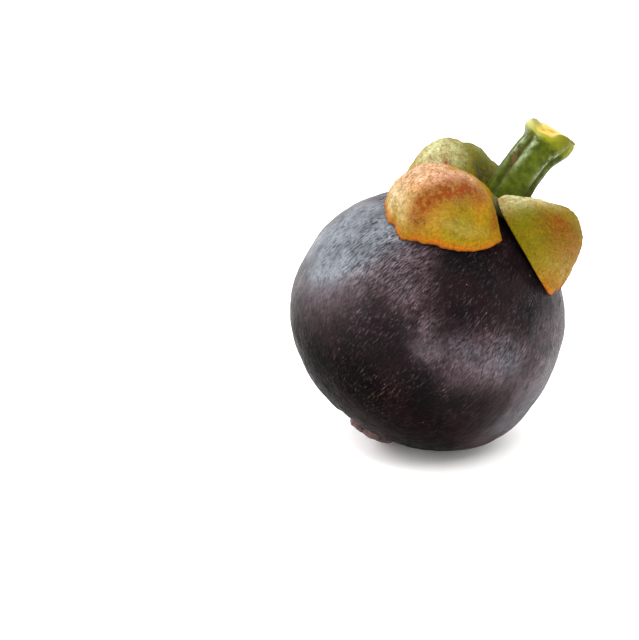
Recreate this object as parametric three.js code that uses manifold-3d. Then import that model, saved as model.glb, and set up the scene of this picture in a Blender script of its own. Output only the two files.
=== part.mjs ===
// A whole mangosteen, as picked: the round dark fruit, its stem, the calyx of four leathery cupped
// sepals round the stem, and the rosette of stigma lobes at the blossom end. The fruit lies tilted on
// a small flat spot. Millimetres, +Z up, origin at the middle of the flat spot on the surface below.
import * as THREE from "three";
import { mergeVertices } from "three/addons/utils/BufferGeometryUtils.js";
import Module from "manifold-3d";

const wasm = await Module();
wasm.setup();

// Driving dimensions of the fruit. Its own frame has the axis along +Z, the stem end up.
const equatorRadius = 30;
const stemEndHeight = 28.8; // centre to the stem end
const blossomEndHeight = 26.5; // centre to the flatter blossom end
const profilePower = 2.17; // 2 is an ellipse, more has fuller shoulders
const fullerSide = 1.8; // how much the equator swells away from +X
const lobeCount = 5; // the five shallow swellings round the equator
const lobeShare = 0.004;

// How it lies.
const leanRight = degrees(28.5);
const leanBack = degrees(6.6);
const flatSpotDepth = 0.6;

// The stem.
const clearance = 0.35; // between pieces that touch
const stemLength = 20.3;
const stemLean = degrees(7); // to the stem's own axis, away from the fruit's
const stemFootRadius = 4.8;
const stemNeckRadius = 4.5;
const stemBow = 0.6; // how far its middle bends towards -X
const stemFlareRadius = 5.8;
const stemFootEnd = 0.45; // shares of the length, here and below
const stemFlareStart = 0.55;
const stemFlareEnd = 0.9;
const stemLipStart = 0.93;
const stemLipDepth = 0.7; // how far the lip at the cut rolls in
const stemRidges = 5;
const stemRidgeHeight = 0.35;
const stemRidgePhase = 0.6;
const stemRidgeStart = 0.25;
const cutSlant = degrees(5);

// The sepals. Each one is a hood, mouth down on the skin, that springs from beside the stem.
// Polar angles are measured from the stem, azimuths from +X towards +Y, all in degrees.
const sepalStart = 10.4; // polar angle of the edge beside the stem
const sepalRimLift = 1.1; // height of the outer face above the skin at the rim
const sepalWall = 1.7;
const sepalInnerInset = 1.5; // polar angle from the outer face's rim to the inner face's
const sepalInnerWidth = 0.94; // share of the outer face's width that the inner face has
const footFade = 1.3; // how fast the foot dies away from the stem
const footSideDrop = 0.6; // share of the foot's height that is lost at both sides
const crownFullness = 0.8; // under 1 the crown is fuller across than a plain arch
const sepals = {
  sepal_front: {
    azimuth: -139, // of the middle line, beside the stem
    swirl: 12, // how far the middle line turns on its way to the rim
    spread: [26, 46], // from the middle line to each side, beside the stem and at the rim
    reach: 57.8, // polar angle of the rim on the middle line
    slant: 1.2, // how much less it is at the side of the larger azimuth, and more at the other
    droop: 20.8, // how much less it is at both sides
    foot: 3, // height above the rim's of the edge beside the stem
    rise: 7.3, // height of the crown
    crest: 1.31, // under 1 the crown is near the stem, over 1 near the rim
    shoulder: 2.3, // how square the hood is across
    tilt: 0, // how much higher the crown is towards the larger azimuth, as a share
  },
  sepal_right: {
    azimuth: -47,
    swirl: 42,
    spread: [62, 41.5],
    reach: 39.7,
    slant: 10.7,
    droop: 0,
    foot: 5.2,
    rise: 7.2,
    crest: 1.13,
    shoulder: 2.8,
    tilt: 0,
  },
  sepal_back: {
    azimuth: 84.5,
    swirl: 7.5,
    spread: [46.5, 42],
    reach: 47.3,
    slant: 0,
    droop: 8,
    foot: 3,
    rise: 11,
    crest: 1.48,
    shoulder: 5.5,
    tilt: 0.38,
  },
  sepal_left: {
    azimuth: 160,
    swirl: 3,
    spread: [26, 23],
    reach: 40,
    slant: 0,
    droop: 6,
    foot: 3,
    rise: 9.2,
    crest: 0.87,
    shoulder: 2.8,
    tilt: 0,
  },
};

// The stigma at the blossom end.
const stigmaRadius = 6;
const stigmaHeight = 2.1;
const stigmaLobes = 6;
const stigmaNotch = 0.3; // share of the radius that the notches between lobes cut in
const stigmaNotchSharpness = 0.5; // under 1 the notches are sharp and the lobes broad
const stigmaEndDrop = 0.9; // how much lower the top is at the lobes' ends
const stigmaEndGap = 0.7; // how much further off the skin the lobes' ends stand

// Meshes: how many faces round, along or across each form has.
const bodySides = 48;
const bodyRings = 30;
const stemSides = 35;
const stemRings = 14;
const sepalRows = 15;
const sepalColumns = 16;
const stigmaSides = 60;
const stigmaRings = 10;
const weldDistance = 1e-4;

const finishes = {
  skin: { color: 0x2a1c24, roughness: 0.4 },
  stem: { color: 0x6f8a3c, roughness: 0.55 },
  sepal: { color: 0xa89a3e, roughness: 0.6 },
  stigma: { color: 0x3c2420, roughness: 0.7 },
};

function degrees(angle) {
  return (angle * Math.PI) / 180;
}

// The skin's distance from the axis and height at a polar angle from the stem end: a superellipse.
function profile(polar) {
  const end = Math.cos(polar) > 0 ? stemEndHeight : blossomEndHeight;
  const across = Math.abs(Math.sin(polar)) / equatorRadius;
  const along = Math.abs(Math.cos(polar)) / end;
  const radius = (across ** profilePower + along ** profilePower) ** (-1 / profilePower);
  return { radius, sine: Math.sin(polar), cosine: Math.cos(polar) };
}

// A point at a height above the skin. Azimuth runs from +X towards +Y.
function skinPoint(polar, azimuth, lift = 0) {
  const { radius, sine, cosine } = profile(polar);
  const lobes = 1 + lobeShare * sine ** 2 * Math.cos(lobeCount * azimuth);
  const reach = radius * lobes + lift;
  return new THREE.Vector3(
    reach * sine * Math.cos(azimuth) - fullerSide * sine ** 2,
    reach * sine * Math.sin(azimuth),
    reach * cosine,
  );
}

// Moves every vertex of a geometry to where a function of its old place says.
function mapped(geometry, place) {
  const position = geometry.getAttribute("position");
  const point = new THREE.Vector3();
  for (let i = 0; i < position.count; i++) {
    position.setXYZ(i, ...place(point.fromBufferAttribute(position, i)).toArray());
  }
  geometry.computeVertexNormals();
  return geometry;
}

function solidOf(geometry) {
  geometry.deleteAttribute("normal");
  geometry.deleteAttribute("uv");
  const merged = mergeVertices(geometry, weldDistance);
  return new wasm.Manifold(
    new wasm.Mesh({
      numProp: 3,
      vertProperties: new Float32Array(merged.attributes.position.array),
      triVerts: new Uint32Array(merged.index.array),
    }),
  );
}

function geometryOf(solid) {
  const { vertProperties, triVerts } = solid.getMesh();
  const geometry = new THREE.BufferGeometry();
  geometry.setAttribute("position", new THREE.BufferAttribute(vertProperties, 3));
  geometry.setIndex(new THREE.BufferAttribute(triVerts, 1));
  geometry.computeVertexNormals();
  return geometry;
}

function named(name, geometry, finish) {
  const material = new THREE.MeshStandardMaterial({ ...finish, metalness: 0 });
  const mesh = new THREE.Mesh(geometry, material);
  mesh.name = name;
  return mesh;
}

// The fruit's own frame, tilted and set down so that the flat spot is cut at height 0.
function restingFrame() {
  const frame = new THREE.Group();
  frame.rotation.set(-leanBack, leanRight, 0);
  const lowest = new THREE.Vector3(0, 0, Infinity);
  const step = degrees(0.5);
  for (let polar = Math.PI / 2; polar < Math.PI; polar += step) {
    for (let azimuth = 0; azimuth < 2 * Math.PI; azimuth += step) {
      const point = skinPoint(polar, azimuth).applyEuler(frame.rotation);
      if (point.z < lowest.z) lowest.copy(point);
    }
  }
  frame.position.copy(lowest).negate();
  frame.position.z -= flatSpotDepth;
  frame.updateMatrixWorld(true);
  return frame;
}

// The fruit is one solid. The flat spot is cut square to the surface that it lies on.
function fruitBody(frame) {
  const ball = new THREE.SphereGeometry(1, bodySides, bodyRings).rotateX(Math.PI / 2);
  mapped(ball, (p) => skinPoint(Math.acos(p.z), Math.atan2(p.y, p.x)));
  ball.applyMatrix4(frame.matrixWorld);
  const side = 4 * equatorRadius;
  const ground = new THREE.BoxGeometry(side, side, side).translate(0, 0, -side / 2);
  return named("fruit_body", geometryOf(solidOf(ball).subtract(solidOf(ground))), finishes.skin);
}

// The stem's radius at a share of its length: a foot, a neck, and a flare below the cut.
function stemRadius(share) {
  const { smoothstep } = THREE.MathUtils;
  const foot = (stemFootRadius - stemNeckRadius) * Math.max(0, 1 - share / stemFootEnd) ** 2;
  const flared = smoothstep(share, stemFlareStart, stemFlareEnd);
  const lip = stemLipDepth * smoothstep(share, stemLipStart, 1);
  return stemNeckRadius + foot + flared * (stemFlareRadius - stemNeckRadius) - lip;
}

function stem() {
  const column = new THREE.CylinderGeometry(1, 1, 1, stemSides, stemRings).rotateX(Math.PI / 2);
  mapped(column, (p) => {
    const share = p.z + 0.5;
    const azimuth = Math.atan2(p.y, p.x);
    const wave = Math.cos(stemRidges * azimuth + stemRidgePhase);
    const ridge = stemRidgeHeight * wave * Math.min(1, share / stemRidgeStart);
    const radius = Math.hypot(p.x, p.y) * (stemRadius(share) + ridge);
    const x = radius * Math.cos(azimuth);
    const slant = share > stemLipStart ? x * Math.tan(cutSlant) : 0;
    const bow = stemBow * Math.sin(Math.PI * share);
    return new THREE.Vector3(x - bow, radius * Math.sin(azimuth), share * stemLength + slant);
  });
  const mesh = named("stem", column, finishes.stem);
  mesh.rotation.y = stemLean;
  const footDip = stemFootRadius * Math.sin(stemLean);
  mesh.position.z = stemEndHeight + clearance + footDip;
  return mesh;
}

// How high a sepal's outer face stands above the skin. Along is 0 beside the stem and 1 at the rim,
// across is -1 to 1 from side to side.
function hoodLift({ foot, rise, crest, shoulder, tilt }, along, across) {
  const raised = foot * (1 - along) ** footFade * (1 - footSideDrop * across ** 2);
  const arch = Math.max(0, Math.sin(Math.PI * along ** crest));
  const section = (1 - Math.abs(across) ** shoulder) ** crownFullness;
  return sepalRimLift + raised + rise * (1 + tilt * across) * arch * section;
}

function sepal([name, form]) {
  const slab = new THREE.BoxGeometry(2, 2, 2, sepalRows, sepalColumns, 1);
  mapped(slab, (p) => {
    const inside = p.z < 0;
    const along = (p.x + 1) / 2;
    const across = p.y;
    const width = THREE.MathUtils.lerp(...form.spread, along) * (inside ? sepalInnerWidth : 1);
    const turn = form.azimuth + form.swirl * along + across * width;
    const inset = inside ? sepalInnerInset : 0;
    const rim = form.reach - form.slant * across - form.droop * across ** 2 - inset;
    const polar = THREE.MathUtils.lerp(sepalStart, rim, along);
    const outer = hoodLift(form, along, across);
    const inner = along > 0 ? Math.max(clearance, outer - sepalWall) : clearance;
    return skinPoint(degrees(polar), degrees(turn), inside ? inner : outer);
  });
  return named(name, slab, finishes.sepal);
}

// The stigma's lobes part from each other in notches, and their ends stand a little off the skin.
// Its top and its base meet half way between them at the rim.
function stigma() {
  const ball = new THREE.SphereGeometry(1, stigmaSides, stigmaRings).rotateX(Math.PI / 2);
  mapped(ball, (p) => {
    const azimuth = Math.atan2(p.y, p.x);
    const notch = Math.abs(Math.sin((stigmaLobes * azimuth) / 2)) ** stigmaNotchSharpness;
    const share = Math.hypot(p.x, p.y) ** 0.6;
    const reach = stigmaRadius * share * (1 - stigmaNotch * (1 - notch) * share);
    const polar = Math.PI - reach / blossomEndHeight;
    const top = stigmaHeight - stigmaEndDrop * share ** 2;
    const base = clearance + stigmaEndGap * share ** 4;
    const rim = (top + base) / 2;
    const rounding = share ** 8;
    const lift = p.z < 0 ? top * (1 - rounding) + rim * rounding : base;
    return skinPoint(polar, azimuth, Math.abs(p.z) < 1e-6 ? rim : lift);
  });
  return named("stigma", ball, finishes.stigma);
}

const frame = restingFrame();
frame.add(stem(), stigma(), ...Object.entries(sepals).map(sepal));

const mangosteen = new THREE.Group();
mangosteen.add(fruitBody(frame), frame);

export default mangosteen;
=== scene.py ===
# %% [markdown]
# # A whole mangosteen, lying on its side
#
# A mangosteen is a round fruit with a hard rind, purple-black under a dusty bloom. Four leathery
# sepals stay on it round the stem, cupped like hoods, and a small rosette of dry stigma lobes marks
# the blossom end. The solids give every form its size and place. This lesson makes the surfaces
# that the eye sees: each is a formula of two parameters on a grid, worked out with numpy.

# %% The frame
import math

import bmesh
import bpy
import numpy as np
from mathutils import Matrix, Vector


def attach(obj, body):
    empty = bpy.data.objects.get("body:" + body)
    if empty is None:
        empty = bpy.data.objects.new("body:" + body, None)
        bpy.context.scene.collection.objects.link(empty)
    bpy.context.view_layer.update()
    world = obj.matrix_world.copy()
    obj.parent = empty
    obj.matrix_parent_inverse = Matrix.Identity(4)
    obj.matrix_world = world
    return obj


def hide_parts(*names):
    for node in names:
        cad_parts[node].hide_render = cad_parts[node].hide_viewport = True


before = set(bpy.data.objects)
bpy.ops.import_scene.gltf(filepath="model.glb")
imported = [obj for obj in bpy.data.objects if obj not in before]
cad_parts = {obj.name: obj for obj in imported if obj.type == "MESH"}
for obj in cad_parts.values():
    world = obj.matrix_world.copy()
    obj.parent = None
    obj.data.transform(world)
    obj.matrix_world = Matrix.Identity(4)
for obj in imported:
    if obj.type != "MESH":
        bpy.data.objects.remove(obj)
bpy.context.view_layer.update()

# %% [markdown]
# ## The fruit's own frame
#
# Everything on the fruit is easiest to say by polar angle from the stem, azimuth round the axis and
# height above the skin. The skin is a superellipsoid, an ellipsoid with slightly fuller shoulders,
# flatter at the blossom end and a little swollen on one side. One function gives it, and every other
# piece grows out of it, so nothing has to be fitted afterwards.

# %% The skin's formula, in millimetres
EQUATOR_RADIUS = 30.0
STEM_END_HEIGHT = 28.8
BLOSSOM_END_HEIGHT = 26.5
PROFILE_POWER = 2.17
FULLER_SIDE = 1.8
LOBE_COUNT = 5
LOBE_SHARE = 0.004


def skin_point(polar, azimuth, lift=0.0):
    """A point over the skin: the superellipse radius at the polar angle plus the lift, swung round
    the axis by the azimuth, with shallow lobes and a sideways swell that grows to the equator."""
    sine, cosine = np.sin(polar), np.cos(polar)
    end = np.where(cosine > 0, STEM_END_HEIGHT, BLOSSOM_END_HEIGHT)
    across, along = np.abs(sine) / EQUATOR_RADIUS, np.abs(cosine) / end
    radius = (across**PROFILE_POWER + along**PROFILE_POWER) ** (-1 / PROFILE_POWER)
    reach = radius * (1 + LOBE_SHARE * sine**2 * np.cos(LOBE_COUNT * azimuth)) + lift
    return np.stack([reach * sine * np.cos(azimuth) - FULLER_SIDE * sine**2,
                     reach * sine * np.sin(azimuth), reach * cosine], -1)


print("the skin stands", skin_point(0.0, 0.0)[2].round(1), "mm above the centre at the stem end and",
      -skin_point(np.pi, 0.0)[2].round(1), "mm below it at the blossom end")

# %% How it lies
LEAN_RIGHT = math.radians(28.5)
LEAN_BACK = math.radians(6.6)
FLAT_SPOT_DEPTH = 0.6
SEARCH_STEP = 0.5
TURN = np.array(Matrix.Rotation(-LEAN_BACK, 3, "X") @ Matrix.Rotation(LEAN_RIGHT, 3, "Y"))

# The lowest point is looked for on the blossom end's half, every half degree.
search = np.meshgrid(np.radians(np.arange(90, 180, SEARCH_STEP)),
                     np.radians(np.arange(0, 360, SEARCH_STEP)))
underside = skin_point(*search).reshape(-1, 3) @ TURN.T
lowest = underside[underside[:, 2].argmin()]
CENTRE = -lowest - [0, 0, FLAT_SPOT_DEPTH]
print("the fruit's centre stands at", CENTRE.round(2), "mm")


def placed(points):
    """Points of the fruit's own frame, in millimetres, turned and moved to where the fruit lies."""
    return points @ TURN.T + CENTRE


# %% [markdown]
# ## Grown unevenness
#
# Nothing on a fruit is exactly a formula. A smooth random field, the sum of a few dozen plane waves
# of about one length in random directions, gives dents, wrinkles and ragged rims. Each field has a
# seed of its own, so the fruit comes out the same each time.

# %% A smooth random field
def unevenness(points, length, seed, waves=40):
    """The sum of plane waves about `length` long in random directions, scaled to a spread of 1."""
    random = np.random.default_rng(seed)
    directions = random.normal(size=(waves, points.shape[-1]))
    directions /= np.linalg.norm(directions, axis=1, keepdims=True)
    numbers = 2 * np.pi / (length * random.uniform(0.7, 1.5, waves))
    phases = random.uniform(0, 2 * np.pi, waves)
    total = np.zeros(points.shape[:-1])
    for direction, number, phase in zip(directions, numbers, phases):
        total += np.cos(points @ (direction * number) + phase)
    return total * math.sqrt(2 / waves)


def smooth_step(value, low, high):
    """0 below low, 1 above high, and an S-shaped ramp between them."""
    share = np.clip((value - low) / (high - low), 0, 1)
    return share * share * (3 - 2 * share)


def blob(across, along, middle, size):
    """A soft spot: 1 at its middle, falling as a bell curve over its half-widths."""
    return np.exp(-(((across - middle[0]) / size[0]) ** 2) - ((along - middle[1]) / size[1]) ** 2)


def on_circle(angle):
    """The points of a unit circle at the angles. A field worked out on them closes round the axis."""
    return np.stack([np.cos(angle), np.sin(angle)], -1)


# %% Grids
MILLIMETRE = 0.001
MERGE_DISTANCE = 1e-7


def grid_round(rows, columns):
    """The rows' values and the columns' azimuths, spread evenly over a full turn, as two arrays."""
    return np.meshgrid(rows, np.linspace(-np.pi, np.pi, columns, endpoint=False), indexing="ij")


def grid_mesh(name, points, round_closed):
    """A mesh from rows and columns of points in metres. Neighbours span quads, and the last column
    meets the first where round_closed."""
    rows, columns = points.shape[:2]
    index = np.arange(rows * columns).reshape(rows, columns)
    if round_closed:
        index = np.concatenate([index, index[:, :1]], 1)
    quads = np.stack([index[:-1, :-1], index[:-1, 1:], index[1:, 1:], index[1:, :-1]], -1)
    mesh = bpy.data.meshes.new(name)
    mesh.from_pydata(points.reshape(-1, 3), [], quads.reshape(-1, 4))
    return mesh


def in_scene(name, data):
    """A new object with the data, in the scene."""
    made = bpy.data.objects.new(name, data)
    bpy.context.collection.objects.link(made)
    return made


# %% From a grid of points to a piece
def piece_from_grid(name, points, values):
    """A piece from a grid of points in millimetres that closes round an axis. Points that coincide
    are merged, which closes poles and rims, and the faces are turned outwards. The values are stored
    on the points for the finish to read."""
    mesh = grid_mesh(name, points * MILLIMETRE, True)
    for key, value in values.items():
        kind, field = ("FLOAT", "value") if value.ndim == 2 else ("FLOAT_VECTOR", "vector")
        mesh.attributes.new(key, kind, "POINT").data.foreach_set(field, value.ravel())
    work = bmesh.new()
    work.from_mesh(mesh)
    bmesh.ops.remove_doubles(work, verts=work.verts, dist=MERGE_DISTANCE)
    bmesh.ops.recalc_face_normals(work, faces=work.faces)
    work.to_mesh(mesh)
    work.free()
    mesh.polygons.foreach_set("use_smooth", [True] * len(mesh.polygons))
    piece = in_scene(name, mesh)
    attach(piece, "root")
    print(name, len(mesh.polygons), "faces")
    return piece


# %% [markdown]
# ## The rind
#
# The rind is firm and leathery, never quite smooth: broad shallow dents, a finer hammered texture,
# and puckers that run out from the blossom end, where a dimple holds the stigma. The grid has its
# poles at the two ends, so rows are rings round the axis and columns are meridians. Points under the
# floor are lifted to it, which gives the flat spot that the fruit lies on.

# %% The rind's surface
SKIN_ROWS, SKIN_COLUMNS = 221, 416
DENTS = [(0.10, 15, 1), (0.05, 6, 2), (0.018, 2.4, 3)]    # height and length in mm, and the seed
RELIEF_FADE = 0.3                                         # power of the sine: it fades at the poles
PUCKER_HEIGHT, PUCKER_LENGTH = 0.16, 0.35
PUCKER_MIDDLE, PUCKER_REACH = 2.75, 0.3                   # polar angles in radians
DIMPLE_DEPTH = 3.0
DIMPLE_LIP, DIMPLE_FOOT = 156, 168                        # polar angles in degrees

polar, azimuth = grid_round(np.linspace(0, np.pi, SKIN_ROWS), SKIN_COLUMNS)
polar_degrees = np.degrees(polar)
smooth_skin = skin_point(polar, azimuth)
relief = sum(height * unevenness(smooth_skin, length, seed) for height, length, seed in DENTS)
pucker_height = PUCKER_HEIGHT * blob(0, polar, (0, PUCKER_MIDDLE), (1, PUCKER_REACH))
relief = relief + unevenness(on_circle(azimuth), PUCKER_LENGTH, 4) * pucker_height
dimple = -DIMPLE_DEPTH * smooth_step(polar_degrees, DIMPLE_LIP, DIMPLE_FOOT)
skin = placed(skin_point(polar, azimuth, relief * np.sin(polar) ** RELIEF_FADE + dimple))
skin[..., 2] = np.maximum(skin[..., 2], 0)
print("the rind's relief:", relief.min().round(2), "to", relief.max().round(2), "mm")

# %% [markdown]
# The finish needs to know directions on the rind. Growth leaves fine pale fibres that run from the
# stem to the blossom end, so the rind carries coordinates that change slowly along a meridian and
# fast across it. They are wrapped round a cylinder, which has no seam, and twisted a little one way
# and the other, because the fibres cross at small angles. The dust of wax lies in patches, and the
# same patches paint highlight: the strongest lie where the lamps and the white table are mirrored,
# and a long one paints the pale reflection along the rim.

# %% The rind's coordinates and patches
FIBRE_STRETCH = 5
FIBRE_TWISTS = {"fibres_one_way": 0.25, "fibres_other_way": -0.30}    # radians for each radian down


def fibre_coordinates(twist):
    """The azimuth wrapped round a cylinder of the equator's radius, after a twist that grows with
    the polar angle, and the way along the meridian shortened by the stretch, all in millimetres."""
    turned = azimuth + twist * polar
    return np.stack([EQUATOR_RADIUS * np.cos(turned), EQUATOR_RADIUS * np.sin(turned),
                     EQUATOR_RADIUS * polar / FIBRE_STRETCH], -1)


# polar angle, azimuth and the half-widths along and across, in degrees, and the strength
# Dust and painted highlight: the two strongest patches paint the mirrored light behind on the left, the
# small ones near the equator the soft reflection of the table, and the long one at azimuth -28 the pale
# reflection along the rim.
DUST_AND_HIGHLIGHT_PATCHES = [
    (60, -150, 15, 17, 1.00), (77, -155, 18, 20, 1.10), (70, 175, 26, 28, 0.42), (64, -126, 12, 13, 0.20),
    (62, -112, 7, 9, 0.06), (76, -111, 7, 8, 0.24), (82, -97, 5, 5, 0.16), (91, -93, 5, 7, 0.30),
    (84, -79, 6, 9, 0.36), (97, -79, 5, 6, 0.08), (79, -61, 8, 11, 0.40), (91, -71, 7, 9, 0.16),
    (86, -54, 7, 12, 0.20), (60, -41, 12, 7, 0.12), (86, -28, 30, 12, 0.40), (106, -36, 14, 10, 0.28),
    (80, 60, 45, 60, 0.20), (75, 120, 30, 35, 0.30),
]


def dust_and_highlight_left():
    """How much dust of wax and painted highlight there is, 0 to 1: the sum of the soft patches, each
    one measured the short way round."""
    total = 0 * polar
    for middle, turn, tall, wide, strength in DUST_AND_HIGHLIGHT_PATCHES:
        away = (np.degrees(azimuth) - turn + 180) % 360 - 180
        total += strength * np.exp(-((polar_degrees - middle) / tall) ** 2 - (away / wide) ** 2)
    return np.minimum(total, 1)


# The corky ring round the stigma has a ragged border, and covers most of the skin's colour.
SCAR_SHARE, SCAR_RAGGED = 0.7, 1.6
ragged_polar = polar_degrees + SCAR_RAGGED * unevenness(on_circle(azimuth), 0.6, 5)
rind = piece_from_grid("rind", skin, {
    **{name: fibre_coordinates(twist) for name, twist in FIBRE_TWISTS.items()},
    # Dust of wax and painted highlight, in patches.
    "dust_and_highlight": dust_and_highlight_left(),
    # Painted shade: towards the blossom end the reflection weakens and the fibres turn warmer, for the
    # shadowed table close under the fruit.
    "painted_shade_below": smooth_step(polar_degrees, 95, 120),
    "crisp": 1 - smooth_step(polar_degrees, 72, 92),
    "scar": SCAR_SHARE * smooth_step(ragged_polar, 152, 168),
})
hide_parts("fruit_body")

# %% [markdown]
# ## The sepals
#
# A sepal is a thick leathery hood. It springs from beside the stem, rises to a crown, and comes down
# to a thin rim that lies just over the rind. Its place is said by two numbers: along, from the stem
# to the rim, and across, from side to side. Four sets of proportions give the four sepals, because
# they grow in two unlike pairs and each one is squeezed by its neighbours.
#
# The azimuth says where a sepal springs from, and the swirl how far it turns on its way. The spread
# is half its width, at the stem and at the rim. The reach is the rim's polar angle, from which the
# slant takes away straight across, the droop squared across and the corner at both ends, and to which
# each wave of the rim (middle, width, degrees) adds. The foot is its height beside the stem, less
# the foot drop at the sides. The rise is the crown's height. A crest above 1 moves the crown to the
# rim, a greater shoulder makes it boxier, and a tilt lifts one side of it. The rim side says how far
# along the side borders get the colours of the rim.

# %% The sepals' proportions, in degrees and millimetres
SEPAL_START = 10.4
SEPAL_WALL = 1.7
RIM_LIFT = 1.1
RIM_GAP = 0.35
SEPALS = {
    "sepal_front": dict(
        azimuth=-139, swirl=12, spread=(26, 46), reach=57.8, slant=1.2, droop=20.8, corner=2.6,
        foot=3.0, foot_drop=0.6, rise=7.3, crest=1.31, shoulder=2.3, tilt=0, rim_side=0.7, seed=11,
        waves=[(-0.72, 0.12, 1.7), (-0.20, 0.06, -1.1), (-0.33, 0.10, -0.4), (0.0, 0.08, 1.5),
               (0.30, 0.12, -2.1), (0.70, 0.11, 1.3), (0.98, 0.06, 1.2)]),
    "sepal_right": dict(
        azimuth=-47, swirl=42, spread=(62, 41.5), reach=39.7, slant=10.7, droop=0, corner=0,
        foot=5.2, foot_drop=0.42, rise=7.2, crest=1.13, shoulder=2.8, tilt=0, rim_side=0.97, seed=21,
        waves=[]),
    "sepal_back": dict(
        azimuth=84.5, swirl=7.5, spread=(46.5, 42), reach=47.3, slant=0, droop=8, corner=0,
        foot=3.0, foot_drop=0.6, rise=11.0, crest=1.48, shoulder=5.5, tilt=0.38, rim_side=0.7, seed=31,
        waves=[]),
    "sepal_left": dict(
        azimuth=160, swirl=3, spread=(26, 23), reach=40, slant=0, droop=6, corner=0,
        foot=3.0, foot_drop=0.6, rise=9.2, crest=0.87, shoulder=2.8, tilt=0, rim_side=0.7, seed=41,
        waves=[]),
}
print("the sepals reach", {name: form["reach"] for name, form in SEPALS.items()}, "degrees from the stem")

# %% [markdown]
# A sepal turns colour in patches as it ages. Each patch is a soft spot, said by its middle across
# and along, its half-widths across and along, and its strength. The blush is red-brown, the pale
# spots are dry, the pink ones are where green fades first, and the green ones are the shaded parts
# that stay fresh. The deep ones are a deeper green and also painted shade, in the creases next to
# the stem and between the sepals. Two faint pale spots along the front sepal's rim are painted light.

# %% Where a sepal is tinted
# The deep tint is a deeper green and also painted shade in the creases next to the stem and between the
# sepals.
TINTS = {
    "sepal_front": {
        "blush": [(0.10, 0.91, 0.09, 0.06, 0.6), (0.08, 0.81, 0.11, 0.08, 0.9),
                  (0.14, 0.73, 0.13, 0.07, 0.8), (0.24, 0.66, 0.14, 0.08, 0.8),
                  (0.42, 0.57, 0.16, 0.09, 0.6), (0.62, 0.50, 0.15, 0.09, 0.5),
                  (0.33, 0.59, 0.26, 0.11, 0.4), (0.86, 0.72, 0.07, 0.16, 0.8),
                  (0.60, 0.64, 0.14, 0.07, 0.4), (0.40, 0.70, 0.15, 0.07, 0.15)],
        # The second and the third pale spots, faint ones along the lower border, are painted light.
        "pale": [(-0.40, 0.86, 0.30, 0.10, 0.7), (-0.05, 0.90, 0.22, 0.07, 0.12),
                 (0.50, 0.87, 0.26, 0.05, 0.1)],
        "pink": [(-0.45, 0.76, 0.36, 0.14, 0.8), (-0.08, 0.59, 0.38, 0.12, 1.3),
                 (0.3, 0.48, 0.35, 0.10, 0.6)],
        "green": [(0.55, 0.85, 0.35, 0.12, 0.45), (0.37, 0.71, 0.17, 0.08, 0.6)],
        "deep_green_and_shade": [],
    },
    "sepal_right": {
        "blush": [(-0.62, 0.50, 0.16, 0.09, 0.55), (-0.50, 0.66, 0.34, 0.22, 0.55),
                  (-0.90, 0.92, 0.10, 0.08, 0.4)],
        "pale": [(-0.60, 0.06, 0.50, 0.14, 1.0), (-0.50, 0.24, 0.50, 0.10, 0.6),
                 (-0.6, 0.86, 0.35, 0.14, 0.15)],
        "pink": [(-0.45, 0.80, 0.20, 0.14, 0.15)],
        "green": [(-0.80, 0.42, 0.25, 0.24, 0.8), (0.2, 0.55, 0.9, 0.40, 0.7),
                  (-0.9, 0.7, 0.3, 0.2, 0.4)],
        "deep_green_and_shade": [(-0.55, 0.56, 0.30, 0.20, 0.35)],
    },
    "sepal_back": {
        "blush": [(0.2, 0.75, 0.3, 0.12, 0.4)],
        "pale": [(0.50, 0.50, 0.3, 0.10, 0.2)],
        "pink": [],
        "green": [(0.0, 0.35, 1.4, 0.60, 1.6)],
        "deep_green_and_shade": [(0.60, 0.18, 0.50, 0.20, 1.1)],
    },
    "sepal_left": {
        "blush": [(0.80, 0.53, 0.07, 0.04, 0.7), (0.92, 0.55, 0.08, 0.25, 0.35)],
        "pale": [(0.5, 0.62, 0.9, 0.24, 0.85), (0.6, 0.34, 0.3, 0.12, 0.3)],
        "pink": [],
        "green": [(0.6, 0.12, 0.9, 0.18, 1.1), (0.6, 0.45, 0.9, 0.4, 0.8)],
        "deep_green_and_shade": [(-0.1, 0.05, 0.9, 0.10, 1.3)],
    },
}
RIM_START, EDGE_START = 0.94, 0.985
print(sum(len(spots) for tints in TINTS.values() for spots in tints.values()), "soft spots of colour")


def sepal_patches(name, along, across):
    """Each tint is the sum of its soft spots, stopped at 1. The rim and the thin edge grow from 0 to
    1 between their starts and the border. The border is the end of the sepal, and its sides too
    from a quarter of the way on, at full strength from the rim side on."""
    patches = {}
    for tint, spots in TINTS[name].items():
        total = sum(strength * blob(across, along, (u, v), (wide, long))
                    for u, v, wide, long, strength in spots)
        patches[tint] = np.minimum(total + 0 * along, 1)
    side = np.abs(across) * smooth_step(along, 0.25, SEPALS[name]["rim_side"])
    for key, start in (("rim", RIM_START), ("edge", EDGE_START)):
        patches[key] = smooth_step(np.maximum(along, side), start, 1.0)
    return patches


# %% A sepal's two faces
FOOT_FALL, CROWN_ROUNDING = 1.3, 0.8    # powers that shape the foot and the crown's sides
RAGGED_RIM = 0.35                       # degrees
CORNER_START = 0.80
RIM_DROP, RIM_DROP_START = 0.45, 0.93
BROAD_WRINKLES = (0.10, 4.5)            # height and length in millimetres
FINE_WRINKLES = [(0.065, 1.3), (0.035, 0.75)]


def hood_lift(form, along, across):
    """How high the outer face stands over the skin: the rim's height, plus a foot beside the stem,
    plus a crown that is a sine along the sepal and a rounded box across it, tilted to one side."""
    foot = form["foot"] * (1 - along) ** FOOT_FALL * (1 - form["foot_drop"] * across**2)
    foot = foot * smooth_step(along, -0.01, 0.06)
    crown = form["rise"] * np.maximum(0, np.sin(np.pi * along ** form["crest"]))
    crown = crown * (1 + form["tilt"] * across)
    crown = crown * np.maximum(0, 1 - np.abs(across) ** form["shoulder"]) ** CROWN_ROUNDING
    return RIM_LIFT + foot + crown


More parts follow.
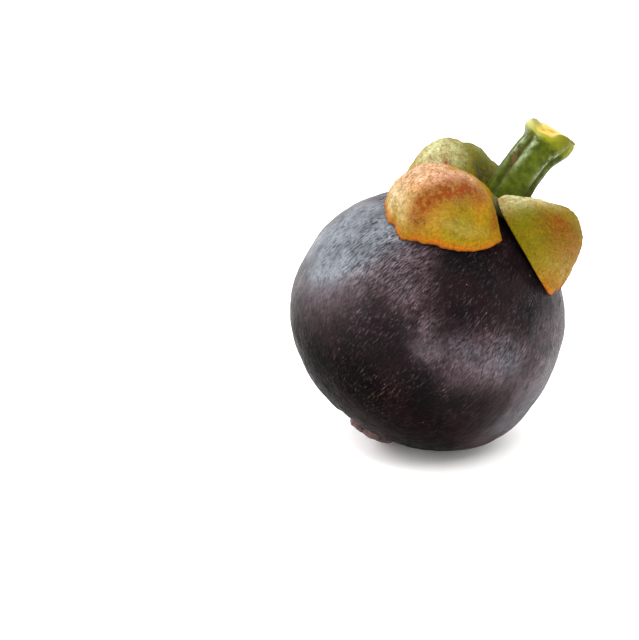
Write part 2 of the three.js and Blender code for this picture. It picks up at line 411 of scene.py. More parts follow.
def sepal_points(form, along, across, wall):
    """Points of a face that lies `wall` (0 to 1, a share of the wall's thickness) under the outer
    one. The rim wanders and has the sepal's own waves, its corners are rounded, and near it the hood
    comes down to the rind. The wrinkles fade out before the border."""
    line, seed = np.stack([across, 0 * across], -1), form["seed"]
    ragged = unevenness(line, 0.5, seed) + 0.6 * unevenness(line, 0.10, seed + 1)
    rim = form["reach"] - form["slant"] * across - form["droop"] * across**2 + RAGGED_RIM * ragged
    rim = rim - form["corner"] * smooth_step(np.abs(across), CORNER_START, 1.0) ** 2
    for middle, width, height in form["waves"]:
        rim = rim + height * np.exp(-((across - middle) / width) ** 2)
    half_width = form["spread"][0] + (form["spread"][1] - form["spread"][0]) * along
    half_width = half_width * (1 - 0.05 * smooth_step(along, 0.75, 1.0) ** 2)
    reach = np.radians(SEPAL_START + (rim - SEPAL_START) * along)
    swing = np.radians(form["azimuth"] + form["swirl"] * along + across * half_width)
    flat = skin_point(reach, swing)
    edge = np.maximum(along, np.abs(across))
    outer = hood_lift(form, along, across) - RIM_DROP * smooth_step(edge, RIM_DROP_START, 1.0)
    height, length = BROAD_WRINKLES
    outer += height * unevenness(flat, length, seed + 2) * smooth_step(1 - edge, 0, 0.2)
    fine_relief = sum(height * unevenness(flat, length, seed + 3 + place)
                      for place, (height, length) in enumerate(FINE_WRINKLES))
    outer += fine_relief * smooth_step(1 - edge, 0, 0.1)
    return skin_point(reach, swing, np.maximum(outer - wall * SEPAL_WALL, RIM_GAP))


# %% The four sepals
SEPAL_STEPS = 121
CROWDING = 0.65
BORDER_POWER = 6


def sepal(name, form):
    """A closed shell: the outer face and the inner face on one grid of along and across, meeting at
    the borders, where the wall thins as the side of a rounded edge does. The grid's lines crowd
    towards the borders as a cosine does."""
    steps = np.linspace(0, 1, SEPAL_STEPS)
    crowded = (1 - CROWDING) * steps + CROWDING * (0.5 - 0.5 * np.cos(np.pi * steps))
    along, across = np.meshgrid(crowded, 2 * crowded - 1, indexing="ij")
    edge = np.maximum(np.abs(2 * along - 1) ** BORDER_POWER, np.abs(across) ** BORDER_POWER)
    wall = np.sqrt(np.maximum(0, 1 - edge))
    outer = placed(sepal_points(form, along, across, 0 * along))
    inner = placed(sepal_points(form, along, across, wall))
    points = np.concatenate([outer, inner[:, ::-1]], 1)
    values = {key: np.concatenate([value, value[:, ::-1]], 1)
              for key, value in sepal_patches(name, along, across).items()}
    piece = piece_from_grid("hood_" + name.split("_")[1], points, values)
    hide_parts(name)
    return piece


hoods = [sepal(name, form) for name, form in SEPALS.items()]

# %% [markdown]
# ## The receptacle
#
# The sepals and the stem grow from one small cushion on top of the fruit. It shows only as a dark
# green-brown ring in the crease between them. It is a lens turned round the axis, sunk a little
# into the crease.

# %% The receptacle
RECEPTACLE_SPREAD = math.radians(15)
RECEPTACLE_RISE = 3.4
RECEPTACLE_BASE = 0.2
RECEPTACLE_RAGGED, RECEPTACLE_WAVE = 0.05, 1.2
RECEPTACLE_ROWS, RECEPTACLE_COLUMNS = 49, 120
steps, around = grid_round(np.linspace(0, 1, RECEPTACLE_ROWS), RECEPTACLE_COLUMNS)
ragged = 1 + RECEPTACLE_RAGGED * unevenness(on_circle(around), RECEPTACLE_WAVE, 51)
spread = RECEPTACLE_SPREAD * np.sin(np.pi * steps) * ragged
rise = RECEPTACLE_BASE + RECEPTACLE_RISE * np.sqrt(np.maximum(0, np.cos(np.pi * steps)))
rise = np.where(steps < 0.5, rise, RECEPTACLE_BASE)
receptacle = piece_from_grid("receptacle", placed(skin_point(spread, around, rise)), {})

# %% [markdown]
# ## The stem
#
# The stem is a short stalk with rounded ridges that run its whole length, deep narrow grooves
# between them, and a cut end that has flared and dried: hoof-like lips of bark round a sunken
# face of pale pith. The cut is slanted and dips at the front left, and a small pit marks the pith.
# The section is a circle with a bump for each ridge and a dip for each groove.

# %% The stem's section
STEM_LENGTH = 20.3
STEM_LEAN = math.radians(7)
STEM_FOOT_RADIUS, STEM_NECK_RADIUS, STEM_FLARE_RADIUS = 4.8, 4.5, 5.8
STEM_BOW = 0.6
STEM_CLEARANCE = 0.35
# azimuth and half-width in degrees, height in millimetres
STEM_RIDGES = [(-152, 9, 0.30), (-117, 9, 0.38), (-80, 16, 0.12), (-57, 8, 0.22), (-22, 12, 0.35),
               (14, 18, 0.55), (78, 16, 0.45), (140, 14, 0.40)]
STEM_GROOVES = [(-136, 7, -0.50), (-103, 5, -0.12), (-41, 6, -0.40), (48, 7, -0.40), (110, 7, -0.40)]
LIP_CREASE = (-28, 7, -0.4)
# azimuth in degrees and share of the length, their half-widths, and the depth in millimetres
LIP_NOTCH_PLACE, LIP_NOTCH_SIZE, LIP_NOTCH_DEPTH = (-5, 0.965), (22, 0.012), 0.35
LIP_ROUNDING = 1.2
# shares of the length, from the foot to the cut
FOOT_END = 0.45
FLARE_START, FLARE_SWAY, FLARE_END = 0.70, 0.08, 0.91
RELIEF_FADES, CREASE_GROWS = (0.85, 0.95), (0.80, 0.95)
RELIEF_AT_FOOT, RELIEF_GROWTH, RELIEF_LOSS = 0.35, 3, 0.5
LIP_EDGE_START, LIP_EDGE_LENGTH = 0.93, 0.07
print("the stem is", 2 * STEM_NECK_RADIUS, "to", 2 * STEM_FLARE_RADIUS, "mm thick without its ridges")


def bumps(azimuth, table):
    """The sum of bell-shaped bumps round the stem, each at its azimuth with its width and height."""
    total = 0 * azimuth
    for middle, width, height in table:
        apart = np.degrees((azimuth - math.radians(middle) + np.pi) % (2 * np.pi) - np.pi)
        total = total + height * np.exp(-((apart / width) ** 2))
    return total


def stem_radius(share, azimuth):
    """A foot, a neck and a flare below the cut that starts lower on the right, plus ridges and
    grooves that are weaker at the foot and the cut, a crease between the lips, a notch under them,
    and a quarter circle that rounds the lips' edge off. The share runs from the foot to the cut."""
    foot = (STEM_FOOT_RADIUS - STEM_NECK_RADIUS) * np.maximum(0, 1 - share / FOOT_END) ** 2
    flare = smooth_step(share, FLARE_START - FLARE_SWAY * np.cos(azimuth), FLARE_END)
    flare = flare * (STEM_FLARE_RADIUS - STEM_NECK_RADIUS)
    relief = bumps(azimuth, STEM_RIDGES + STEM_GROOVES)
    relief = relief * np.minimum(1, RELIEF_AT_FOOT + RELIEF_GROWTH * share)
    relief = relief * (1 - RELIEF_LOSS * smooth_step(share, *RELIEF_FADES))
    crease = smooth_step(share, *CREASE_GROWS) * bumps(azimuth, [LIP_CREASE])
    notch = LIP_NOTCH_DEPTH * blob(np.degrees(azimuth), share, LIP_NOTCH_PLACE, LIP_NOTCH_SIZE)
    edge = 1 - np.sqrt(1 - np.clip((share - LIP_EDGE_START) / LIP_EDGE_LENGTH, 0, 1) ** 2)
    return STEM_NECK_RADIUS + foot + flare + relief + crease - notch - LIP_ROUNDING * edge


# %% The stem's grid
# Rows run up the side and then over the cut to its middle. The share is 1 all over the cut, and
# inward runs from 0 at the lips to 1 at the middle. The first row closes the foot. The grain of the
# bark is drawn out along the stem.
STEM_COLUMNS = 240
SIDE_ROWS, LIP_ROWS, CUT_ROWS = 70, 16, 26
GRAIN_HEIGHT, GRAIN_LENGTH, GRAIN_STRETCH = 0.05, 1.6, 0.4
side = np.concatenate([np.linspace(0, 0.9, SIDE_ROWS), np.linspace(0.9, 1, LIP_ROWS)[1:]])
inwards = np.linspace(0, 1, CUT_ROWS)[1:]
share, around = grid_round(np.concatenate([[0], side, 1 + 0 * inwards]), STEM_COLUMNS)
inward = grid_round(np.concatenate([[1], 0 * side, inwards]), STEM_COLUMNS)[0]
turn = np.degrees(around)
on_cut = share > 0.99
near_cut = share > 0.5    # leaves out the first row, which closes the foot

radius = stem_radius(share, around)
bark_points = np.stack([radius * np.cos(around), radius * np.sin(around), share * STEM_LENGTH], -1)
grain = GRAIN_HEIGHT * unevenness(bark_points * [1, 1, GRAIN_STRETCH], GRAIN_LENGTH, 61)
radius = radius + grain * (share < 1)
radius = radius * (1 - inward)
x = radius * np.cos(around) - STEM_BOW * np.sin(np.pi * share)
y = radius * np.sin(around)
print("the stem's grid:", share.shape[0], "rows of", share.shape[1])

# %% The stem's cut
CUT_SLANT, CUT_TIP = math.radians(5.6), math.radians(4)
CUT_DIP = 1.2
CUT_DIP_BORDERS = (-154, -132, -98, -76)    # azimuths where it starts, is whole, fades and ends
FRONT_LIP = (-58, 20, 0.45)
LIP_WAVE_HEIGHT, LIP_WAVE_LENGTH = 0.15, 0.9
CUT_BEND = (0.82, 1)                        # shares of the length over which the cut's shape grows
PITH_DEPTH, HEART_DEPTH, PIT_DEPTH = 0.25, 0.5, 0.5
PIT_PLACE, PIT_SIZE = (-1.9, -2.2), (0.8, 0.6)


def between(value, start, whole, fading, end):
    """0 before the start, 1 from where it is whole to where it fades, and 0 after the end."""
    return smooth_step(value, start, whole) * (1 - smooth_step(value, fading, end))


wavy = -CUT_DIP * between(turn, *CUT_DIP_BORDERS) + bumps(around, [FRONT_LIP])
wavy += LIP_WAVE_HEIGHT * unevenness(on_circle(around), LIP_WAVE_LENGTH, 62)
pit = blob(x, y, PIT_PLACE, PIT_SIZE) * on_cut
sunk = PITH_DEPTH * smooth_step(inward, 0.10, 0.40) + HEART_DEPTH * smooth_step(inward, 0.70, 0.95)
z = share * STEM_LENGTH - np.where(on_cut, sunk + PIT_DEPTH * pit, 0)
tipped = x * math.tan(CUT_SLANT) + y * math.tan(CUT_TIP) + wavy * (1 - inward)
z += smooth_step(share, *CUT_BEND) * tipped
print("the cut lies between", z[on_cut].min().round(1), "and", z[on_cut].max().round(1), "mm up the stem")

# %% Where the stem is tinted
# azimuth and half-width in degrees, and the strength
# Painted sheen: pale lines on the ridges that stand in for the lamps' sheen on them.
SHEEN = [(-152, 8, 0.9), (-119, 8, 1.2), (-53, 7, 2.2), (-22, 10, 0.4), (14, 14, 0.5), (78, 12, 0.5),
         (140, 12, 0.5)]
DRIED_LIPS = [(-25, 42, 1.0), (180, 34, 0.7), (-90, 20, 0.3)]
RIM_THIN, RIM_THICKER, RIM_SOFT = 0.06, 0.20, 0.12
BARE_LIP = (-152, -136, -98, -80)           # azimuths where the dip bares the pith over the lip

thick_rim = RIM_THIN + RIM_THICKER * blob(np.abs(turn), 0, (180, 0), (40, 1))
pith = smooth_step(inward, thick_rim, thick_rim + RIM_SOFT) * near_cut
pith = np.maximum(pith, smooth_step(share, 0.970, 0.995) * between(turn, *BARE_LIP))
dried = smooth_step(share, 0.965, 0.99) * (1 - smooth_step(inward, 0.02, 0.07))
streak = blob(turn + 140 + 2.6 * (z - 10.7), z, (0, 10.7), (6, 2.4))
streak = streak + 0.5 * blob(turn, z, (-42, 7.4), (9, 1.6))
print("pale pith on", round(100 * pith[on_cut].mean()), "% of the cut's points")

# %% The stem's surface
lean = np.array(Matrix.Rotation(STEM_LEAN, 3, "Y"))
foot_height = STEM_END_HEIGHT + STEM_CLEARANCE + STEM_FOOT_RADIUS * math.sin(STEM_LEAN)
stalk_points = np.stack([x, y, z], -1) @ lean.T + [0, 0, foot_height]
stalk = piece_from_grid("stalk", placed(stalk_points), {
    "share": share,
    "inward": inward * near_cut,
    "pith": pith,
    "pit": pit,
    "dried": dried * bumps(around, DRIED_LIPS),
    "cream": blob(np.abs(turn), share, (176, 0.94), (34, 0.08)),
    "olive": blob(turn, share, (-58, 0.94), (26, 0.09)),
    # Painted sheen on the ridges.
    "ridge": np.clip(bumps(around, SHEEN) * smooth_step(share, 0.32, 0.70), 0, 1),
    # Painted shade in the grooves.
    "groove_shade": np.clip(-bumps(around, STEM_GROOVES) / 0.4, 0, 1),
    "streak": streak,
})
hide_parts("stem")

# %% [markdown]
# ## The stigma
#
# At the blossom end sits the dried stigma, a flat rosette of six woody lobes. There are as many
# lobes as there are segments of flesh inside. The lobes part in notches, their ends stand a little
# off the rind, which leaves a dark gap under them, and the middle reaches down into the dimple.

# %% The stigma's surface
STIGMA_RADIUS = 6.0
STIGMA_HEIGHT = 2.1
STIGMA_FALL = 0.9
STIGMA_LOBES = 6
STIGMA_NOTCH = 0.36
STIGMA_NOTCH_DEPTH = 0.35
STIGMA_GAP = 0.35
STIGMA_ROOT, STIGMA_ROOT_RISE = 2.4, 1.2
STIGMA_LOBE_POWER, STIGMA_TOP_POWER, STIGMA_BASE_POWER = 0.5, 14, 16
STIGMA_GRAIN_HEIGHT, STIGMA_GRAIN_LENGTH = 0.06, 1.1
STIGMA_ROWS, STIGMA_COLUMNS = 81, 240

# Rows run over the top to the rim and back below it. The outward share is 0 at the middle, 1 at the
# rim. Top and base keep their own height until close to the rim, where they meet half way.
steps, around = grid_round(np.linspace(0, 1, STIGMA_ROWS), STIGMA_COLUMNS)
outward = np.sin(np.pi * steps)
lobe = np.abs(np.sin(STIGMA_LOBES * around / 2)) ** STIGMA_LOBE_POWER
reach = STIGMA_RADIUS * outward * (1 - STIGMA_NOTCH * (1 - lobe) * outward)
top = STIGMA_HEIGHT - STIGMA_FALL * outward**2
top = top - STIGMA_NOTCH_DEPTH * (1 - lobe) * smooth_step(outward, 0.1, 0.7)
base = STIGMA_GAP - STIGMA_ROOT + STIGMA_ROOT_RISE * outward**2
rim_height = (top + base) / 2
over = top + (rim_height - top) * outward**STIGMA_TOP_POWER
under = base + (rim_height - base) * outward**STIGMA_BASE_POWER
rosette_points = skin_point(np.pi - reach / BLOSSOM_END_HEIGHT, around, np.where(steps < 0.5, over, under))
grain = STIGMA_GRAIN_HEIGHT * unevenness(rosette_points, STIGMA_GRAIN_LENGTH, 71)
rosette_points += grain[..., None]
rosette = piece_from_grid("rosette", placed(rosette_points), {"lobe": lobe})
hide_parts("stigma")

# %% [markdown]
# ## Finishes
#
# Every finish is worked out from the surface itself: from the coordinates and patches stored on it,
# and from noise at real sizes, counted per millimetre. One helper adds a node, and one turns a
# colour as it is seen on a screen into the linear colour that light is reckoned in. The others put
# names to what the finishes do again and again: noise, a ramp, a product, a colour over another, and
# a bumpy relief.


# %% Colours and nodes
def colour(code):
    """A linear colour from an sRGB hex code: each part is undone from the screen's curve."""
    parts = [int(code[place:place + 2], 16) / 255 for place in (1, 3, 5)]
    return [part / 12.92 if part <= 0.04045 else ((part + 0.055) / 1.055) ** 2.4 for part in parts] + [1]


def add(tree, kind, inputs, output=0, **settings):
    """Adds a node and gives its output. An input is a value, or the output of another node."""
    node = tree.nodes.new("ShaderNode" + kind)
    for setting, value in settings.items():
        setattr(node, setting, value)
    for socket, value in inputs.items():
        if isinstance(value, bpy.types.NodeSocket):
            tree.links.new(value, node.inputs[socket])
        else:
            node.inputs[socket].default_value = value
    return node.outputs[output]


# %% Patterns, ramps and mixtures
def noise(tree, place, scale, detail, roughness=0.5, output=0, **more):
    """Cloudy noise with `scale` waves per unit of the place, and finer ones for each detail."""
    inputs = {"Vector": place, "Scale": scale, "Detail": detail, "Roughness": roughness, **more}
    return add(tree, "TexNoise", inputs, output)


def ramp(tree, value, low, high, least=0.0, most=1.0):
    """A straight ramp: the least where the value is low, the most where it is high."""
    return add(tree, "MapRange", {0: value, 1: low, 2: high, 3: least, 4: most})


def math_node(tree, operation, *values, **settings):
    """A sum, a product or a maximum of the values."""
    return add(tree, "Math", dict(enumerate(values)), operation=operation, **settings)


def mixed(tree, share, base, over):
    """The base colour with a share of another colour over it."""
    return add(tree, "Mix", {0: share, 6: base, 7: over}, 2, data_type="RGBA")


def in_millimetres(tree):
    """The place on the piece in its own coordinates, which are in metres, as millimetres."""
    return add(tree, "VectorMath", {0: add(tree, "TexCoord", {}, "Object"), 3: 1000.0}, operation="SCALE")


def stored(tree, *names):
    """The values of those names that are stored on the piece."""
    return {name: add(tree, "Attribute", {}, "Fac", attribute_name=name) for name in names}


def roughen(tree, shader, height, strength, distance):
    """Bumps from a height of 0 to 1, that stand for the distance in metres."""
    bump = add(tree, "Bump", {"Strength": strength, "Distance": distance, "Height": height}, "Normal")
    tree.links.new(bump, shader.inputs["Normal"])


# %% A new finish
def finish(name, **fixed):
    """A new finish: its node tree and its shader, with the values that are the same all over."""
    made = bpy.data.materials.new(name)
    made.use_nodes = True
    shader = made.node_tree.nodes["Principled BSDF"]
    for socket, value in fixed.items():
        shader.inputs[socket.replace("_", " ")].default_value = value
    return made, made.node_tree, shader


def put_on(made, *pieces):
    """Gives the finish to the pieces."""
    for piece in pieces:
        piece.data.materials.append(made)
    print(made.name, len(made.node_tree.nodes), "nodes")


# %% [markdown]
# The rind is a waxy, satin skin: purple-black with reddish shades, and a dust of wax in patches. Thin
# dust looks purple over the dark skin, thick dust blue-grey. The strongest patches also paint the
# highlights of the lamps and of the white table, and the pale reflection along the rim. Near the stem
# end the dust breaks up into short crisp fibres, and from the equator on it is a smooth thin haze.
# Fine pale fibres follow the meridians, and their light colour also paints small glints in the dark
# parts. A few corky specks lie on it, and a corky brown ring lies round the stigma. Wax has an index
# of refraction near 1.45. It is glossier where it was polished, so the roughness runs from 0.26 to
# 0.42, but dust and fibres dull the reflection, so it is kept weak. It is weaker still towards the
# blossom end, and the fibres there are warmer, which paints the shade of the table close under the
# fruit. The fibres stand out by about a tenth of a millimetre.

# %% The rind's patterns
waxy_rind, tree, shader = finish("waxy_rind", IOR=1.45)
millimetres = in_millimetres(tree)
marks = stored(tree, "dust_and_highlight", "painted_shade_below", "crisp", "scar")
wander = noise(tree, millimetres, 0.22, 2.0, output="Color")
wander = add(tree, "VectorMath", {0: wander, 3: 0.7}, operation="SCALE")
fibre_places = []
for key in ("fibres_one_way", "fibres_other_way"):
    way = add(tree, "Attribute", {}, "Vector", attribute_name=key)
    fibre_places.append(add(tree, "VectorMath", {0: way, 1: wander}, operation="ADD"))
fine_one = noise(tree, fibre_places[0], 4.2, 2.0, 0.6)
fine_other = noise(tree, fibre_places[1], 3.8, 2.0, 0.6)
cloud = noise(tree, millimetres, 0.13, 4.0, 0.65)
curd = noise(tree, millimetres, 0.55, 5.0, 0.7)

# %% The rind's skin and pale fibres
red_zone = ramp(tree, noise(tree, millimetres, 0.10, 3.0), 0.42, 0.64)
tint = mixed(tree, red_zone, colour("#060304"), colour("#15070a"))
fibre_zone = ramp(tree, cloud, 0.40, 0.66, 0.10, 0.9)
# Pale fibres, partly real and partly painted glints: their light colour stands in for small glints in the
# dark parts.
fibres_and_glints = math_node(tree, "MULTIPLY", ramp(tree, fine_one, 0.57, 0.70), fibre_zone)
# Painted shade: the fibres are warmer towards the blossom end.
fibre_tint = mixed(tree, marks["painted_shade_below"], colour("#574a50"), colour("#544638"))
tint = mixed(tree, fibres_and_glints, tint, fibre_tint)
print(len(tree.nodes), "nodes so far")

# %% The dust of wax and the painted highlights
# The wisps are faint where the dust is smooth and strong where it is crisp.
thin, thick = (ramp(tree, marks["crisp"], 0.0, 1.0, *ends) for ends in ((0.75, 0.15), (1.25, 2.0)))
wisps = ramp(tree, fine_one, 0.38, 0.62, thin, thick)
grain = ramp(tree, curd, 0.34, 0.66, 0.60, 1.35)
clouds = ramp(tree, cloud, 0.36, 0.62, 0.55, 1.25)
DUST_AND_HIGHLIGHT_STRENGTH = 0.85
# Partly real dust and partly painted highlight, as the patches are.
dust_and_highlight_share = marks["dust_and_highlight"]
for factor in (grain, wisps, clouds, DUST_AND_HIGHLIGHT_STRENGTH):
    dust_and_highlight_share = math_node(tree, "MULTIPLY", dust_and_highlight_share, factor, use_clamp=True)
thickness = ramp(tree, marks["dust_and_highlight"], 0.12, 0.64)
tint = mixed(tree, dust_and_highlight_share, tint, mixed(tree, thickness, colour("#8e767d"), colour("#838890")))

# %% The rind's dark fibres, specks and cork
dark_fibres = math_node(tree, "MULTIPLY", ramp(tree, fine_other, 0.46, 0.32), 0.7)
tint = mixed(tree, dark_fibres, tint, colour("#050304"))
cells = add(tree, "TexVoronoi", {"Vector": millimetres, "Scale": 0.42}, "Distance")
tint = mixed(tree, ramp(tree, cells, 0.062, 0.035), tint, colour("#6a605c"))
cork = mixed(tree, noise(tree, millimetres, 0.9, 3.0), colour("#2a1612"), colour("#7c4c2e"))
tint = mixed(tree, marks["scar"], tint, cork)
tree.links.new(tint, shader.inputs["Base Color"])

# %% The rind's gloss and relief
tree.links.new(ramp(tree, curd, 0.35, 0.65, 0.26, 0.42), shader.inputs["Roughness"])
# Painted shade: the reflection weakens towards the blossom end.
tree.links.new(ramp(tree, marks["painted_shade_below"], 0.0, 1.0, 0.06, 0.01), shader.inputs["Specular IOR Level"])
fibres = math_node(tree, "ADD", fine_one, fine_other)
roughen(tree, shader, math_node(tree, "MULTIPLY_ADD", curd, 1.3, fibres), 0.9, 0.0006)
put_on(waxy_rind, rind)

# %% [markdown]
# The sepals are leathery leaf tissue that has half turned colour: olive yellow at heart, green
# where they were shaded, with pale dry spots, a pink flush, a red-brown blush on the crown, an
# orange-brown rim with a thin dark edge, and fine dark wrinkles. A deeper green also paints the shade
# in the creases by the stem, and the brightness follows the relief: painted shade in its hollows and
# painted light on its tops. The mottling breaks every patch up, so that none has a plain border. Such
# a cuticle dries almost matt: the roughness is 0.5 and the reflection very weak.

# %% The sepals' patterns
leathery, tree, shader = finish("leathery_sepal", IOR=1.45, Roughness=0.5, Specular_IOR_Level=0.03)
millimetres = in_millimetres(tree)
broad = noise(tree, millimetres, 0.16, 4.0, 0.6)
mottle = noise(tree, millimetres, 0.8, 5.0, 0.68)
fine = noise(tree, millimetres, 1.9, 4.0, 0.65, Distortion=1.2)
marks = stored(tree, "rim", "edge", "blush", "pale", "pink", "green", "deep_green_and_shade")


def broken_tint(tree, mottle, tint, amount, code, least=0.20, most=1.45):
    """Mixes a colour in by the amount, broken up by the mottling: from the least share to the most."""
    broken = ramp(tree, mottle, 0.36, 0.64, least, most)
    share = math_node(tree, "MULTIPLY", broken, amount, use_clamp=True)
    return mixed(tree, share, tint, colour(code))


# %% The sepals' colours
tint = mixed(tree, ramp(tree, broad, 0.35, 0.65), colour("#90640e"), colour("#7c6409"))
# The deep tint also paints shade in the creases.
for key, code, least, most in (("green", "#4e5208", 0.45, 1.30), ("deep_green_and_shade", "#2a2e04", 0.5, 1.2),
                               ("pale", "#a8a67e", 0.50, 1.15), ("pink", "#b48c72", 0.35, 1.25),
                               ("blush", "#6a300e", 0.30, 1.35), ("rim", "#985014", 0.20, 1.45),
                               ("edge", "#5c2a10", 0.1, 0.9)):
    tint = broken_tint(tree, mottle, tint, marks[key], code, least, most)

# %% The sepals' wrinkles and relief
# Wrinkles and speckles are strongest on the blush and the pink, which have dried most.
wrinkles = ramp(tree, fine, 0.48, 0.34, 0.0, 0.7)
speckle = ramp(tree, noise(tree, millimetres, 4.5, 2.0), 0.38, 0.28, 0.0, 0.22)
weathered = math_node(tree, "MAXIMUM", marks["blush"], marks["pink"])
weathered = ramp(tree, weathered, 0.0, 0.7, 0.45, 1.0)
wrinkles = math_node(tree, "MULTIPLY", math_node(tree, "MAXIMUM", wrinkles, speckle), weathered)
tint = mixed(tree, wrinkles, tint, colour("#4c2f12"))
relief = math_node(tree, "ADD", mottle, fine)
# Tone that varies at random, and, as it follows the bump's height, also painted shade in the hollows and
# painted light on the tops.
brightness = ramp(tree, relief, 0.70, 1.30, 0.74, 1.66)
tint = add(tree, "VectorMath", {0: tint, 3: brightness}, operation="SCALE")
tree.links.new(tint, shader.inputs["Base Color"])
roughen(tree, shader, relief, 1.0, 0.0006)
put_on(leathery, *hoods)

# %% [markdown]
# The stem is fresh green bark that is drying, with brown streaks where it was rubbed. Pale lines on
# the ridges are painted sheen, and dark colour in the grooves is painted shade. Its lips are
# yellow-green, olive at the front and cream on the left, with a dried brown rim. The pith is pale
# yellow, with an orange heart and an orange pit. Smooth bark has a clear but soft sheen, so the
# roughness is 0.42.

# %% The stem's patterns
green_bark, tree, shader = finish("green_bark", IOR=1.45, Roughness=0.42, Specular_IOR_Level=0.09)
millimetres = in_millimetres(tree)
marks = stored(tree, "share", "inward", "pith", "pit", "dried", "cream", "olive", "ridge", "groove_shade",
               "streak")
mottle = noise(tree, millimetres, 0.7, 4.0, 0.6)
fine = noise(tree, millimetres, 3.0, 3.0, 0.6)
# Painted sheen on the ridges, broken by the mottling.
sheen = math_node(tree, "MULTIPLY", marks["ridge"], ramp(tree, mottle, 0.40, 0.60, 0.05, 0.80))
lips = math_node(tree, "MULTIPLY_ADD", mottle, 0.16, marks["share"])
lips = ramp(tree, lips, 0.88, 1.01, 0.0, 0.88)
heart = math_node(tree, "MAXIMUM", ramp(tree, marks["inward"], 0.50, 0.85, 0.0, 0.7), marks["pit"])

# %% The stem's colours
tint = mixed(tree, ramp(tree, mottle, 0.35, 0.65), colour("#2c3604"), colour("#465008"))
tint = mixed(tree, sheen, tint, colour("#8e9a78"))
# Painted shade: the grooves darkened.
tint = mixed(tree, math_node(tree, "MULTIPLY", marks["groove_shade"], 0.6), tint, colour("#262a0a"))
tint = broken_tint(tree, mottle, tint, marks["streak"], "#5b4028")
tint = mixed(tree, lips, tint, colour("#767812"))
tint = mixed(tree, math_node(tree, "MULTIPLY", marks["olive"], 0.9), tint, colour("#4c4c04"))
tint = mixed(tree, math_node(tree, "MULTIPLY", marks["cream"], 0.7), tint, colour("#a8a274"))
tint = mixed(tree, marks["pith"], tint, colour("#b09c44"))
tint = mixed(tree, heart, tint, colour("#9a6a20"))
tint = mixed(tree, math_node(tree, "MULTIPLY", marks["dried"], 0.8), tint, colour("#4a3212"))
tree.links.new(tint, shader.inputs["Base Color"])
roughen(tree, shader, math_node(tree, "ADD", fine, mottle), 0.5, 0.0002)
put_on(green_bark, stalk)

# %% [markdown]
# The receptacle is damp green-brown skin, dull and finely mottled. The stigma is dry and woody: dark
# mauve brown, paler in mottled patches on the lobes, painted light on their tops, and near black in
# the notches between them, painted shade. Both are matt, with a roughness of 0.6.

# %% The receptacle's finish
damp, tree, shader = finish("receptacle_skin", IOR=1.45, Roughness=0.6)
mottle = noise(tree, in_millimetres(tree), 0.9, 4.0, 0.6)
tint = mixed(tree, mottle, colour("#2c2e12"), colour("#5a5a28"))
tree.links.new(tint, shader.inputs["Base Color"])
roughen(tree, shader, mottle, 0.5, 0.0003)
put_on(damp, receptacle)

# %% The stigma's finish
woody, tree, shader = finish("woody_stigma", IOR=1.45, Roughness=0.6)
mottle = noise(tree, in_millimetres(tree), 1.1, 4.0, 0.6)
# Painted light on the lobes' tops and painted shade in the notches between them, broken by the mottling.
lobe_light_and_shade = math_node(tree, "MULTIPLY", stored(tree, "lobe")["lobe"], mottle)
tint = mixed(tree, lobe_light_and_shade, colour("#1c0f0e"), colour("#6a4a48"))
tree.links.new(tint, shader.inputs["Base Color"])
roughen(tree, shader, mottle, 0.6, 0.0003)
put_on(woody, rosette)

# %% [markdown]
# ## Studio
#
# The fruit lies on a white table in a white room. A large soft light stands behind it on the left,
# and another overhead. A fill in front brightens the shaded side but isn't mirrored, and a narrow
# strip low in front draws a soft line of light along the rind. A dark card in front, as studios use
# for glossy dark things, gives the rind something dark to mirror.


# %% The table and the room
def plane(name, corners):
    """A flat four-cornered piece of the studio."""
    mesh = bpy.data.meshes.new(name)
    mesh.from_pydata(corners, [], [(0, 1, 2, 3)])
    made = in_scene(name, mesh)
    return made


TABLE_REACH = 4
table = plane("table", [(-TABLE_REACH, -TABLE_REACH, 0), (TABLE_REACH, -TABLE_REACH, 0),
                        (TABLE_REACH, TABLE_REACH, 0), (-TABLE_REACH, TABLE_REACH, 0)])
# Smooth white paper: matt, so the fruit's shade on it is soft and nothing is mirrored sharply.
paper, tree, shader = finish("white_paper", IOR=1.4, Roughness=0.8)
shader.inputs["Base Color"].default_value = colour("#faf9f8")
put_on(paper, table)

# %% The dark card
# A curved card, part of a ball round the fruit: from the left of the front to its right and upwards.
# Only reflections see it.
CARD_DISTANCE = 0.7
CARD_TURNS, CARD_RISES = (-38, 82, 12), (12, 76, 8)    # from, to and how many, in degrees
card_turn, card_rise = np.meshgrid(*(np.radians(np.linspace(*span)) for span in (CARD_TURNS, CARD_RISES)))
card_points = CARD_DISTANCE * np.stack([np.sin(card_turn) * np.cos(card_rise),
                                        -np.cos(card_turn) * np.cos(card_rise), np.sin(card_rise)], -1)
card_points[..., 2] += CENTRE[2] * MILLIMETRE
card = in_scene("dark_card", grid_mesh("dark_card", card_points, False))
card.visible_camera = False
card.visible_diffuse = False
card.visible_shadow = False
# Black felt: it gives back almost no light, so what mirrors it stays dark.
black, tree, shader = finish("black_felt", Roughness=0.9)
shader.inputs["Base Color"].default_value = colour("#161616")
put_on(black, card)

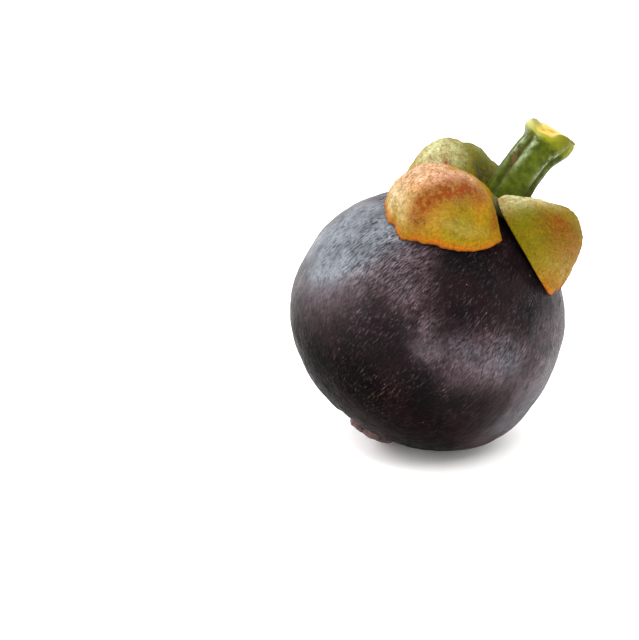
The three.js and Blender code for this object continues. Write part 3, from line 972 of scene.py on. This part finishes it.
# %% The white room
# Even white light from all around fills the shades, as pale walls do.
ROOM_BRIGHTNESS = 1.6
room = bpy.data.worlds.new("white_room")
room.use_nodes = True
room.node_tree.nodes["Background"].inputs["Color"].default_value = (1, 1, 1, 1)
room.node_tree.nodes["Background"].inputs["Strength"].default_value = ROOM_BRIGHTNESS
room.cycles.sampling_method = "NONE"
bpy.context.scene.world = room
bpy.context.scene.view_settings.view_transform = "Standard"


# %% Lights
def soft_light(name, way, distance, size, brightness):
    """A rectangular soft light that looks back at the fruit from a way and a distance, in metres.
    Its power is its brightness times pi times its area. The camera doesn't see it."""
    lamp = bpy.data.lights.new(name, "AREA")
    lamp.shape = "RECTANGLE"
    lamp.size, lamp.size_y = size
    lamp.energy = brightness * math.pi * size[0] * size[1]
    print(name, round(lamp.energy, 2), "W")
    made = in_scene(name, lamp)
    back = Vector(way).normalized()
    made.location = Vector(CENTRE * MILLIMETRE) + back * distance
    made.rotation_euler = back.to_track_quat("Z", "Y").to_euler()
    made.visible_camera = False
    return made


soft_light("key_behind_left", (-0.76, 0.45, 0.50), 1.0, (0.8, 0.8), 4.5)
soft_light("overhead", (-0.30, -0.10, 0.95), 1.0, (0.6, 0.6), 4.0)
soft_light("front_fill", (0.20, -0.62, 0.75), 0.8, (0.6, 0.3), 6.8).visible_glossy = False
soft_light("low_front_strip", (0.50, -0.82, 0.09), 0.65, (0.5, 0.12), 5.0)

# %% The camera
# It looks down on the fruit a little. Its offset from the fruit's centre is said in its own
# directions: to the right, up, and towards it, in millimetres.
ELEVATION = math.radians(18)
CAMERA_OFFSET = (-24.51, 1.081, 333.3)
camera_directions = np.array([[1, 0, 0],
                              [0, math.sin(ELEVATION), math.cos(ELEVATION)],
                              [0, -math.cos(ELEVATION), math.sin(ELEVATION)]])
camera_data = bpy.data.cameras.new("camera")
camera_data.lens = 85
camera_data.sensor_width = 36
camera = in_scene("camera", camera_data)
camera.location = (CENTRE + CAMERA_OFFSET @ camera_directions) * MILLIMETRE
camera.rotation_euler = (math.pi / 2 - ELEVATION, 0, 0)
bpy.context.scene.camera = camera
print("the camera stands at", np.round(camera.location, 4), "m")
